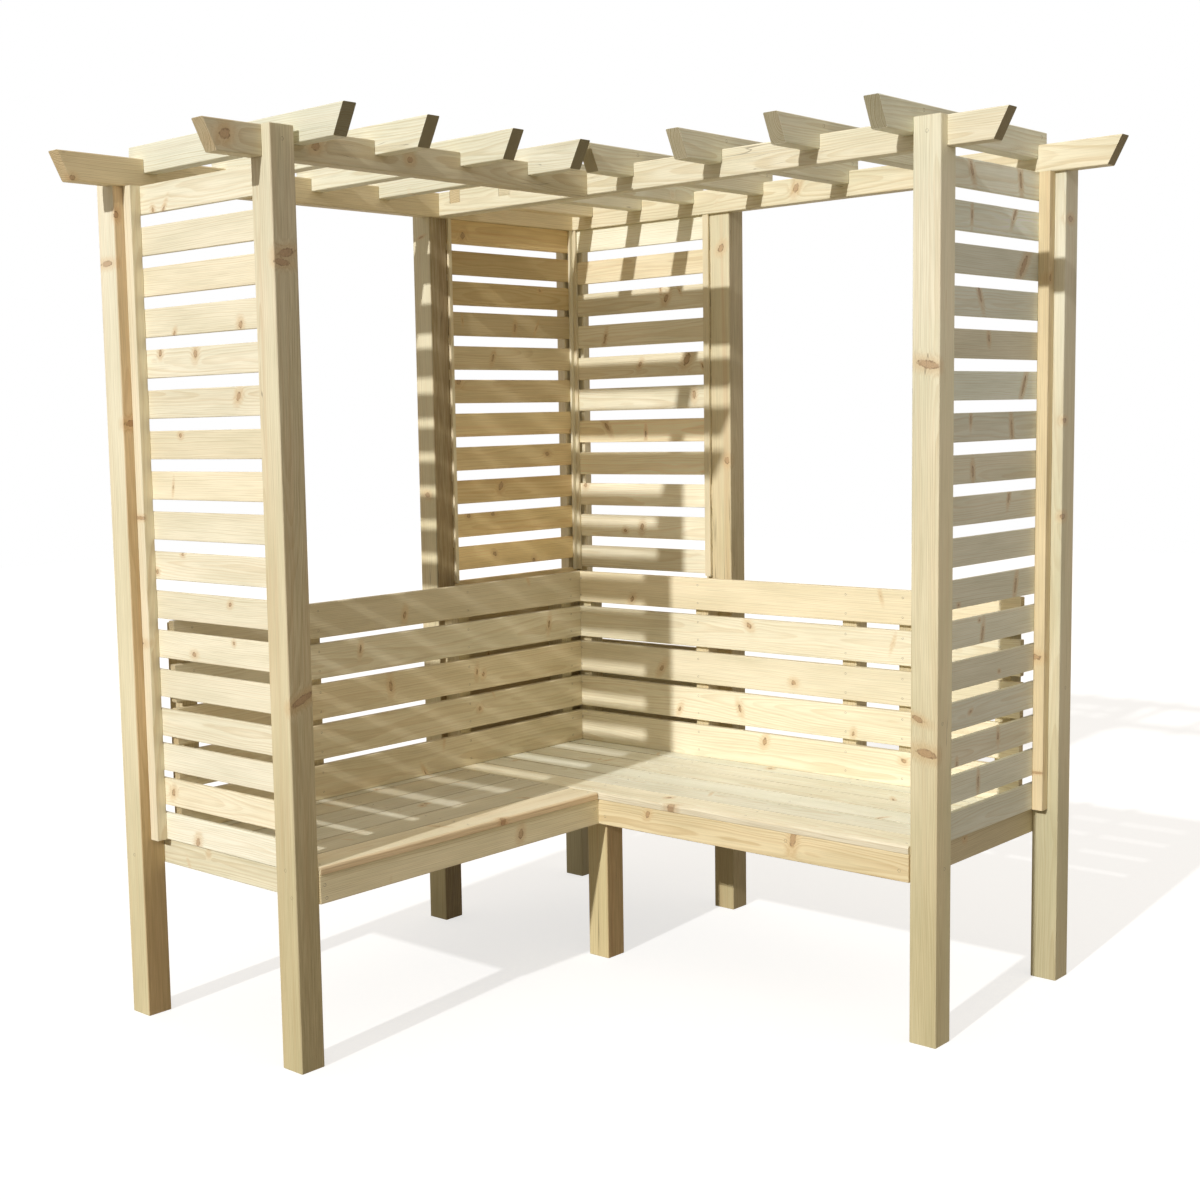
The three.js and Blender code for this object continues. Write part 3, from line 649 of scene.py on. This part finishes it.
# Lightness, warmth and green of the timbers that differ most from their batch
TONES = {
    "post_left_front": (0.7, 0.6, 0.6), "post_left_back": (1.0, 0.6, 0.9), "post_left_outer": (1.6, 0.3, 0.3),
    "post_right_front": (1.5, 0.3, 0.7), "post_right_outer": (0.7, 0.15, 0.6),
    "post_right_back": (0.6, 0.9, 0.5), "leg_inner_corner": (2.8, 0.9, 0.3), "rail_right_end": (-0.6, 0.4, 0.9),
    "rail_left_front": (1.3, 0.0, 0.3), "rail_left_end": (1.0, -0.55, 0.25),
    "beam_left_front": (-0.4, 0.1, 0.0), "beam_left_outer": (0.5, 0.7, 0.0),
    "beam_right_front": (1.1, -0.45, 0.9), "beam_right_outer": (1.2, -0.05, 0.9),
    "rafter_left_1": (1.0, -1.2, 1.0), "rafter_left_2": (1.2, -0.9, 1.0),
    "rafter_left_3": (1.0, -0.9, 1.0), "rafter_left_4": (0.5, -0.9, 1.0), "rafter_right_7": (1.0, 0.2, 0.1),
    "rafter_right_5": (1.1, -1.0, 0.0), "rafter_right_6": (1.1, -0.8, 0.0),
    "back_board_left_5": (-1.0, 0.8, 0.5), "back_board_left_4": (0.0, 0.5, 0.3),
    "back_board_left_3": (0.2, 1.0, 0.2), "back_board_left_2": (-0.1, 0.9, 0.3),
    "back_board_left_1": (-0.4, 1.0, 0.4), "back_board_right_3": (0.5, 0.45, 0.3),
    "seat_board_right_1": (2.0, -0.1, 0.2), "seat_board_left_1": (1.6, 0.3, 0.3),
}
# Ranges of lightness and warmth for boards that came from one bundle
BUNDLES = {"seat_board_right": ((1.0, 1.7), (-1.2, -0.4)), "seat_board_left": ((-1.0, 0.1), (-0.4, 0.3)),
           "back_board_right": ((0.7, 1.3), (0.2, 0.8)), "rafter_right": ((0.8, 1.4), (-1.3, -0.7))}
# Painted shade: timbers with one side drawn browner, the way that side faces, and as its
# length how much browner it is. Mostly this is the side that lies in the shade. On the front
# right post and on the nose of the front right seat board it is the sunlit front. The edges
# between the seat boards are drawn darker too, as painted shade in the gaps.
PAINTED_SHADE_SIDES = {"post_left_front": (0.45, 0, 0), "post_left_outer": (0.3, 0, 0), "post_left_back": (0.9, 0, 0),
              "post_right_back": (0.45, 0, 0), "post_right_outer": (0.08, 0, 0), "leg_inner_corner": (0.6, 0, 0),
              "post_corner": (0.34, 0, 0), "post_right_front": (0, -0.12, 0), "seat_board_right_1": (0, -0.42, 0),
              "seat_board_left_1": (0.3, 0, 0), "seat_board_right": (0, -0.85, 0), "seat_board_left": (0.8, 0, 0)}
# Painted shade: those whose side in the shade is tinted redder
PAINTED_WARM_SHADE_SIDES = {"post_left_outer": (1, 0, 0), "leg_inner_corner": (0.7, 0, 0), "seat_board_left_1": (0.9, 0, 0)}


def tone_of(node):
    """The listed tone of a timber, or one drawn from its bundle, or None for its batch."""
    ranges = BUNDLES.get(node[:-2])
    if node in TONES or not ranges:
        return TONES.get(node)
    seeded = random.Random("tone of " + node)
    return (seeded.uniform(*ranges[0]), seeded.uniform(*ranges[1]), seeded.random())


def painted_shade_side_of(node):
    """The side of this timber that gets painted shade, or else that of all timbers of its group."""
    return PAINTED_SHADE_SIDES.get(node, PAINTED_SHADE_SIDES.get(node[:-2], NO_SIDE))


print("timbers with knots listed", len(KNOTS), "with tones", len(TONES), "with sides", len(PAINTED_SHADE_SIDES))

# %% [markdown]
# ## Timbers that keep their sawn shape
# Posts, beams, rafters, rails, joists and boards are single timbers whose solids already
# have the right shape: rebates, housings, mitred ends and a rounded nose. A copy of each
# solid is merged and cleaned of its triangles, and then a small bevel rounds its edges.
# Bevelling by hand-made faces would be long; the operator does all the corners at once.
# Three rafters in front of the corner are first sawn off flush with the beam they cross:
# a plane cuts the mesh, and the open cut is filled with a new end.

# %% Rounded copies of single timbers
EDGE_ROUND, SHARP = 0.0012, math.radians(35)
FLAT, SAME_SPOT = math.radians(1), 1e-5
FLUSH_RAFTERS = ("rafter_right_5", "rafter_right_6", "rafter_right_7")


def round_edges(work, edges, offset):
    """A small bevel of two steps."""
    bmesh.ops.bevel(work, geom=edges, offset=offset, segments=2, affect="EDGES",
                    profile=0.5, material=-1, clamp_overlap=True, offset_type="OFFSET")


def saw_flush(work, y):
    """Saws off what stands in front of y and closes the sawn end."""
    everything = list(work.verts) + list(work.edges) + list(work.faces)
    cut = bmesh.ops.bisect_plane(work, geom=everything, dist=1e-6, plane_co=(0, y, 0), plane_no=(0, 1, 0),
                                 clear_inner=True)["geom_cut"]
    bmesh.ops.edgeloop_fill(work, edges=[g for g in cut if isinstance(g, bmesh.types.BMEdge)])


def rounded_timber(node):
    """A merged copy of one solid with its edges rounded, its grain laid and its finish on."""
    work = new_work()
    work.from_mesh(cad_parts[node].data)
    bmesh.ops.remove_doubles(work, verts=work.verts, dist=SAME_SPOT)
    bmesh.ops.dissolve_limit(work, angle_limit=FLAT, use_dissolve_boundaries=False,
                             verts=work.verts, edges=work.edges, delimit=set())
    if node in FLUSH_RAFTERS:
        saw_flush(work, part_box("beam_right_front")[0].y)
    bmesh.ops.recalc_face_normals(work, faces=work.faces)
    round_edges(work, [e for e in work.edges if e.is_manifold and e.calc_face_angle() > SHARP], EDGE_ROUND)
    lay_grain(work, list(work.verts), node, KNOTS.get(node, ()), tone=tone_of(node),
              painted_shade_side=painted_shade_side_of(node), painted_warm_shade=PAINTED_WARM_SHADE_SIDES.get(node, NO_SIDE))
    return finish_piece(work, "timber_" + node, SLOT_OF[node], [node])


whole = [n for n in sorted(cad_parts) if not n.startswith(("panel_", "back_frame_"))]
made = [rounded_timber(n) for n in whole]
print("single timbers", len(made), "faces", sum(len(p.data.polygons) for p in made))

# %% [markdown]
# ## Bars made from a cube
# The screens and the back frames are many small timbers in one solid. Each of these is
# made again as its own bar: a cube is scaled to the bar, its long edges get a round of
# two steps, and it is turned by a hair, because slats are never nailed on quite level.

# %% Bar helper
SLAT_ROUND, FRAME_ROUND, STRIP_ROUND = 0.0022, 0.002, 0.001


def add_bar(work, low, high, name, knots=(), ease=SLAT_ROUND, turn=0.0, spare_knots=True, tone=None):
    """Adds one bar between two corners, with rounded long edges and its own grain."""
    before = set(work.verts)
    size = high - low
    through, _, along = sorted(range(3), key=lambda i: size[i])
    verts = bmesh.ops.create_cube(work, size=1.0)["verts"]
    bmesh.ops.scale(work, vec=size, verts=verts)
    edges = {e for v in verts for e in v.link_edges}
    round_edges(work, [e for e in edges if abs((e.verts[0].co - e.verts[1].co)[along]) > size[along] / 2], ease)
    verts = [v for v in work.verts if v not in before]
    if turn:
        bmesh.ops.rotate(work, verts=verts, cent=(0, 0, 0), matrix=Matrix.Rotation(turn, 3, "XYZ"[through]))
    bmesh.ops.translate(work, vec=(low + high) / 2, verts=verts)
    lay_grain(work, verts, name, knots, spare_knots, tone)


# The outer corner of the left end post, in millimetres from the middle of the frame
SHIFT = Vector((-926, -817.5, 0))


def corner(x, y, z):
    """A point given in millimetres from the outer corner of the left end post."""
    return (Vector((x, y, z)) + SHIFT) * MILLI


def bar_corners(axis, run, face, heights):
    """The two corners of a bar that runs along axis 0 or 1, with face its span on the other."""
    xs, ys = (run, face) if axis == 0 else (face, run)
    return [corner(pick(xs), pick(ys), pick(heights)) for pick in (min, max)]


# %% [markdown]
# ## Slatted screens
# A screen is two square battens with seventeen thin slats nailed across them. The slats
# stand closer at one end of the screen. The two corner screens also have narrow strips
# that cover the ends of the slats above the back rest. Like the single timbers, some
# slats have knots and tones of their own.

# %% Sizes, knots and tones of the screens
SLAT_WIDTH, SLAT_THICK, BATTEN, SCREEN_LOW, SCREEN_TOP = 70, 12, 30, 460, 2100
CLOSE_STEP, CLOSE_COUNT, SLATS = 90, 3, 17
BACK_TOP = 1024
# Place along the screen, height, and then as above. These go right through the slats
SCREEN_KNOTS = {
    "panel_left_end": [(-450, 1743, 7, 1.3, 90), (-708, 1736, 4, 2.0, 60), (-627, 1684, 7, 1.5, 80),
        (-769, 1690, 6, 1.3, 80), (-467, 1577, 7, 1.6, 60), (-700, 1488, 5, 1.2, 0)],
    "panel_left_corner": [(408, 2055, 8, 1.3, 60), (377, 1624, 8, 1.2, 0), (630, 1789, 5, 2.6, 80),
        (528, 1696, 5, 2.6, 70), (552, 1307, 8.5, 1.6, 65), (513, 1222, 6, 1.4, 0), (407, 1222, 6, 1.3, 0)],
    "panel_right_corner": [(-407, 1678, 9.5, 2.0, 60), (-723, 1480, 5.5, 2.8, 125), (-484, 1866, 7, 1.8, 60),
        (-587, 1166, 6.5, 1.6, 80), (-726, 1754, 4.5, 3.5, 75), (-587, 1670, 5, 2.0, 60), (-382, 1572, 6, 2.0, 90)],
    "panel_right_end": [(526, 2075, 6, 3.2, 115), (778, 2070, 6, 3.6, 100), (528, 1970, 4, 3.5, 88),
        (748, 1985, 5, 3.2, 60), (799, 1863, 9, 3.6, 50), (570, 1785, 5.5, 4.0, 115), (618, 1681, 5, 2.0, 100),
        (806, 1565, 6, 4.5, 65), (530, 1483, 4, 2.8, 88), (743, 1458, 5.5, 4.0, 98), (542, 1358, 5.5, 2.6, 95),
        (731, 1285, 4.5, 3.0, 75), (599, 956, 5, 3.4, 80), (583, 990, 3, 1.5, 0), (773, 1060, 5.5, 3.6, 78),
        (476, 1038, 3.5, 1.4, 0), (689, 850, 3, 1.4, 0), (540, 767, 3.5, 2.0, 20), (473, 648, 4, 1.8, 90),
        (687, 685, 4.5, 2.6, 90), (583, 584, 4.5, 3.6, 88)],
}
# How light and how warm the pine of each screen is: 0 is grey and 1 is orange
SCREEN_TONES = {"panel_left_end": ((0.8, 1.6), (-0.2, 0.4)), "panel_right_end": ((0.1, 1.0), (-1.2, -0.4)),
                "panel_right_corner": ((1.2, 2.2), (0.0, 0.8))}
# The left corner screen is browner, and darker near its top, counted from there
CORNER_WARMTH = [2.2, 2.4, 2.3, 1.7, 1.4, 1.7, 1.8, 1.9, 2.1, 2.1, 2.1, 1.8, 1.6, 1.4, 1.6, 1.4, 1.6]
CORNER_LIGHT = [0.5, -2.0, -1.5, -1.4, -0.2, -0.4, 1.3, 0.6, 0.2, 1.4, 2.3, 1.0, 0.5, 0.6, 0.2, 0.4, 0.0]
OUTER_BATTEN_TONE, BATTEN_TONE = (0.2, 1.4, 0.0), (0.9, 0.4, 0.2)
# Single slats, counted from the bottom, that are paler or darker than the rest of their screen
ODD_SLATS = {
    "panel_left_end": {0: (1.6, -0.5)},
    "panel_right_end": {5: (1.5, -1.0), 11: (1.8, -1.7), 13: (1.3, -1.7), 15: (1.7, -1.5), 16: (1.8, -1.0)},
    "panel_right_corner": {8: (2.3, 0.1), 9: (2.9, 0.4), 10: (2.8, 0.8), 14: (0.8, 0.3), 16: (2.2, -0.4)},
}
# Painted shade: slats of a corner screen that lie behind a back rest are drawn darker by this much lightness
BEHIND_BACK_SHADE = 1.6


def slat_heights(close_at_top):
    """The heights of the slats, counted from the end where they stand closer."""
    rest = SCREEN_TOP - SCREEN_LOW - SLAT_WIDTH - CLOSE_COUNT * CLOSE_STEP
    wide = rest / (SLATS - 1 - CLOSE_COUNT)
    steps = [0.0]
    while len(steps) < SLATS:
        steps.append(steps[-1] + (wide if len(steps) > CLOSE_COUNT else CLOSE_STEP))
    return [SCREEN_TOP - SLAT_WIDTH - s if close_at_top else SCREEN_LOW + s for s in steps]


def slat_tone(name, count, seeded, behind_back_shaded):
    """The listed tone of a slat, or one drawn from the ranges of its screen, darker as painted shade behind a back
    rest.
    """
    if name == "panel_left_corner":
        light, warmth = CORNER_LIGHT[count], CORNER_WARMTH[count]
    else:
        drawn = [seeded.uniform(*span) for span in SCREEN_TONES[name]]
        light, warmth = ODD_SLATS[name].get(count, drawn)
    return light - BEHIND_BACK_SHADE if behind_back_shaded else light, warmth, seeded.random()


print("slat steps", [round(b - a, 1) for a, b in zip(slat_heights(False), slat_heights(False)[1:])][2:4])

# %% [markdown]
# ## Building the four screens
# All four screens are built in one way, from a row of a table: where the slats run, where
# their faces are and on which side the battens lie. Each slat drops and turns by a hair,
# drawn from a seed made of the screen's name. The places of the nails are noted on the way.

# %% Screens
SLAT_DROP, SLAT_TURN, NAIL_RISES = 0.8, 0.0016, (19, 51)
# name, axis along the slats, ends, seat-side face, side the battens are on, close slats at top
SCREENS = [
    ("panel_left_end", 0, (70.5, 605.5), 70, -1, False),
    ("panel_right_end", 1, (1157.5, 1724.5), 1635, 1, False),
    ("panel_left_corner", 1, (1157.5, 1724.5), 70, -1, True),
    ("panel_right_corner", 0, (70.5, 605.5), 1725, 1, False),
]
SLAT_NAILS = []


def build_screen(name, axis, ends, face, away, close_at_top):
    """Nails seventeen slats on two battens, and notes where the nails are."""
    seeded = random.Random(name)
    low, high = ends
    back, outward = face + away * SLAT_THICK, Vector()
    outward[1 - axis] = -away
    slats, battens = new_work(), new_work()
    for count, z in enumerate(slat_heights(close_at_top)):
        drop = seeded.uniform(-SLAT_DROP, SLAT_DROP) if 0 < count < SLATS - 1 else 0.0
        turn = seeded.uniform(-SLAT_TURN, SLAT_TURN) if 0 < count < SLATS - 1 else 0.0
        a, b = bar_corners(axis, ends, (face, back), (z + drop, z + SLAT_WIDTH + drop))
        own = [(k[0], *k) for k in SCREEN_KNOTS[name] if a.z < k[1] * MILLI < b.z]
        # A corner slat below the top of the back rest lies in its shade, which is painted on
        behind_back_shaded = name.endswith("_corner") and z + SLAT_WIDTH < BACK_TOP
        add_bar(slats, a, b, f"{name} slat {count}", own, turn=turn,
                tone=slat_tone(name, count, seeded, behind_back_shaded), spare_knots=name != "panel_right_end")
        for run in (low + BATTEN / 2, high - BATTEN / 2):
            for rise in NAIL_RISES:
                spot = bar_corners(axis, (run, run), (face, face), (z + drop + rise,) * 2)[0]
                SLAT_NAILS.append((spot, outward))
    for run in ((low, low + BATTEN), (high - BATTEN, high)):
        outer = name == "panel_right_end" and run[1] == high
        add_bar(battens, *bar_corners(axis, run, (back, back + away * BATTEN), (SCREEN_LOW, SCREEN_TOP)),
                f"{name} batten {run[0]}", tone=OUTER_BATTEN_TONE if outer else BATTEN_TONE)
    for kind, work in (("slats", slats), ("battens", battens)):
        finish_piece(work, name.replace("panel", kind), "slat_timber", [name])


for screen in SCREENS:
    build_screen(*screen)

# Two cover strips for each corner screen: their spans on both axes
STRIPS = {"left": (((70, 78), (1157.5, 1170.5)), ((70, 78), (1703.5, 1716.5))),
          "right": (((70.5, 90.5), (1717, 1725)), ((585.5, 605.5), (1717, 1725)))}
for wing, places in STRIPS.items():
    strips = new_work()
    for number, (xs, ys) in enumerate(places, 1):
        add_bar(strips, *bar_corners(0, xs, ys, (BACK_TOP, SCREEN_TOP)), f"{wing} strip {number}",
                ease=STRIP_ROUND, spare_knots=False)
    finish_piece(strips, f"cover_strips_{wing}_corner", "slat_timber", [f"panel_{wing}_corner"])
print("screens", len(SCREENS), "slat nails", len(SLAT_NAILS))

# %% [markdown]
# ## Back frames
# Behind the back boards a rail runs the length of each wing, and short uprights are
# halved into it. Each upright and each rail is a bar with its own grain. The rail is
# drawn a hair thinner than the halving, so that no two faces lie on each other.

# %% Back frames
HAIR, UPRIGHT_WIDTH = 0.3, 45
UPRIGHT_HEIGHTS, RAIL_HEIGHTS = (392, BACK_TOP - 12), (392 + HAIR, 462 - HAIR)
# wing: axis along it, where its uprights start, their depth, then the rail's run and depth
BACK_FRAMES = {
    "left": (1, (105, 525.0, 1109.5, 1578), (70, 127), (105 + HAIR, 1725 - HAIR), (70 + HAIR, 105)),
    "right": (0, (127, 585.0, 1094.0, 1272.0, 1555), (1668, 1725), (105 + HAIR, 1600 - HAIR), (1690, 1725 - HAIR)),
}
for wing, (axis, starts, depth, rail_run, rail_depth) in BACK_FRAMES.items():
    timbers = new_work()
    for start in starts:
        add_bar(timbers, *bar_corners(axis, (start, start + UPRIGHT_WIDTH), depth, UPRIGHT_HEIGHTS),
                f"{wing} upright {start}", ease=FRAME_ROUND)
    add_bar(timbers, *bar_corners(axis, rail_run, rail_depth, RAIL_HEIGHTS), f"{wing} back rail", ease=FRAME_ROUND)
    finish_piece(timbers, "uprights_and_rail_" + wing, "frame_timber", ["back_frame_" + wing])

# %% [markdown]
# ## Nails
# A nail head is a small flat disc driven almost flush, so it shows as a dark dot with a
# bright rim. There are hundreds of them, so each is an eight-sided cone with its top
# inset and pushed in: a few dozen faces. The seat and back boards have two nails where
# they cross a joist or an upright.

# %% Steel finish and nail heads
STEEL_DARK, STEEL_LIGHT, STEEL_DEPTH = (0.11, 0.085, 0.06), (0.25, 0.22, 0.18), 0.0002
# Radius, depth, how far the head stands proud, and its sides
NAIL_HEAD, SCREW_HEAD = (0.0031, 0.0012, 0.0002, 8), (0.0042, 0.002, 0.0002, 16)
UP, FRONT, RIGHT_SIDE = Vector((0, 0, 1)), Vector((0, -1, 0)), Vector((1, 0, 0))

bench = Bench(bpy.data.materials.new("zinc plated steel"))
grime = bench.noise(bench.place(), 900)
STEEL = bench.shade(bench.mix(grime, STEEL_DARK, STEEL_LIGHT), bench.times_plus(grime, 0.3, 0.42), grime,
                    STEEL_DEPTH, metallic=0.5)


def add_head(work, spot, outward, radius, depth, proud, sides):
    """One round head, its top inset and pushed in, standing proud of spot along outward."""
    before = set(work.verts)
    made = bmesh.ops.create_cone(work, cap_ends=True, cap_tris=False, segments=sides,
                                 radius1=radius * 0.8, radius2=radius, depth=depth)
    top = max({f for v in made["verts"] for f in v.link_faces}, key=lambda f: f.calc_center_median().z)
    bmesh.ops.inset_region(work, faces=[top], thickness=radius * 0.3, depth=-depth * 0.25)
    verts = [v for v in work.verts if v not in before]
    bmesh.ops.translate(work, vec=(0, 0, proud - depth / 2), verts=verts)
    bmesh.ops.rotate(work, verts=verts, cent=(0, 0, 0), matrix=outward.to_track_quat("Z", "Y").to_matrix())
    bmesh.ops.translate(work, vec=spot, verts=verts)


def fixings_piece(name, spots, head):
    """One piece with a head at each spot, turned the way that side faces."""
    work = bmesh.new()
    for spot, outward in spots:
        add_head(work, spot, outward, *head)
    finish_piece(work, name, "fixings", [], STEEL)
    print(name, len(spots))


fixings_piece("nails_screens", SLAT_NAILS, NAIL_HEAD)

# %% Nails of the seat and the backs
SEAT_BOARDS, BACK_BOARDS = range(1, 7), range(1, 6)
SEAT_SHARES, BACK_SHARES = (0.24, 0.76), (0.22, 0.78)
SEAT_LINES = {"left": (1, (87.5, 587.0, 1062.0)), "right": (0, (144.5, 647.0, 1156.0, 1617.5))}

seat_nails, back_nails = [], []
for number in SEAT_BOARDS:
    for wing, (axis, lines) in SEAT_LINES.items():
        low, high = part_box(f"seat_board_{wing}_{number}")
        # The last left board is narrow and has one nail at each joist
        shares = (0.5,) if (wing, number) == ("left", 6) else SEAT_SHARES
        for line in lines:
            for share in shares:
                spot = Vector((0, 0, high.z))
                spot[axis] = (line + SHIFT[axis]) * MILLI
                spot[1 - axis] = low[1 - axis] + share * (high[1 - axis] - low[1 - axis])
                seat_nails.append((spot, UP))
for number in BACK_BOARDS:
    for wing, outward in (("left", RIGHT_SIDE), ("right", FRONT)):
        low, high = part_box(f"back_board_{wing}_{number}")
        axis, starts = BACK_FRAMES[wing][:2]
        for start in starts:
            for share in BACK_SHARES:
                spot = Vector((high.x, low.y, low.z + share * (high.z - low.z)))
                spot[axis] = (start + UPRIGHT_WIDTH / 2 + SHIFT[axis]) * MILLI
                back_nails.append((spot, outward))
fixings_piece("nails_seat", seat_nails, NAIL_HEAD)
fixings_piece("nails_back", back_nails, NAIL_HEAD)

# %% [markdown]
# ## Screws
# The frame is held by countersunk screws through the posts and the ends of the rails,
# and one driven through the side of each rafter where it crosses a beam. Their heads are
# wider than those of the nails and have a rounder outline.

# %% Screw heads
BELOW_TOP = 0.014
BEAM_LINES = {"left": (62, 626), "right": (1137, 1733)}
SCREWS = [
    (corner(641, 0, 482), FRONT), (corner(660, 0, 420), FRONT), (corner(676, 35, 2138), RIGHT_SIDE),
    (corner(35, 0, 420), FRONT), (corner(26, 0, 2135), FRONT),
    (corner(681, 83, 437), RIGHT_SIDE), (corner(681, 88, 405), RIGHT_SIDE),
    (corner(681, 1065, 437), RIGHT_SIDE),
    (corner(704, 1082, 417), FRONT), (corner(1290, 1082, 440), FRONT), (corner(1610, 1082, 419), FRONT),
    (corner(1670, 1087, 2135), FRONT), (corner(1705, 1110, 780), RIGHT_SIDE),
    (corner(1705, 1760, 780), RIGHT_SIDE), (corner(1705, 1125, 430), RIGHT_SIDE),
]
for node in sorted(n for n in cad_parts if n.startswith("rafter_")):
    low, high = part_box(node)
    for line in BEAM_LINES[node.split("_")[1]]:
        if node.startswith("rafter_left"):
            SCREWS.append((Vector((corner(line, 0, 0).x, high.y, high.z - BELOW_TOP)), -FRONT))
        else:
            SCREWS.append((Vector((high.x, corner(0, line, 0).y, high.z - BELOW_TOP)), RIGHT_SIDE))
fixings_piece("screws", SCREWS, SCREW_HEAD)
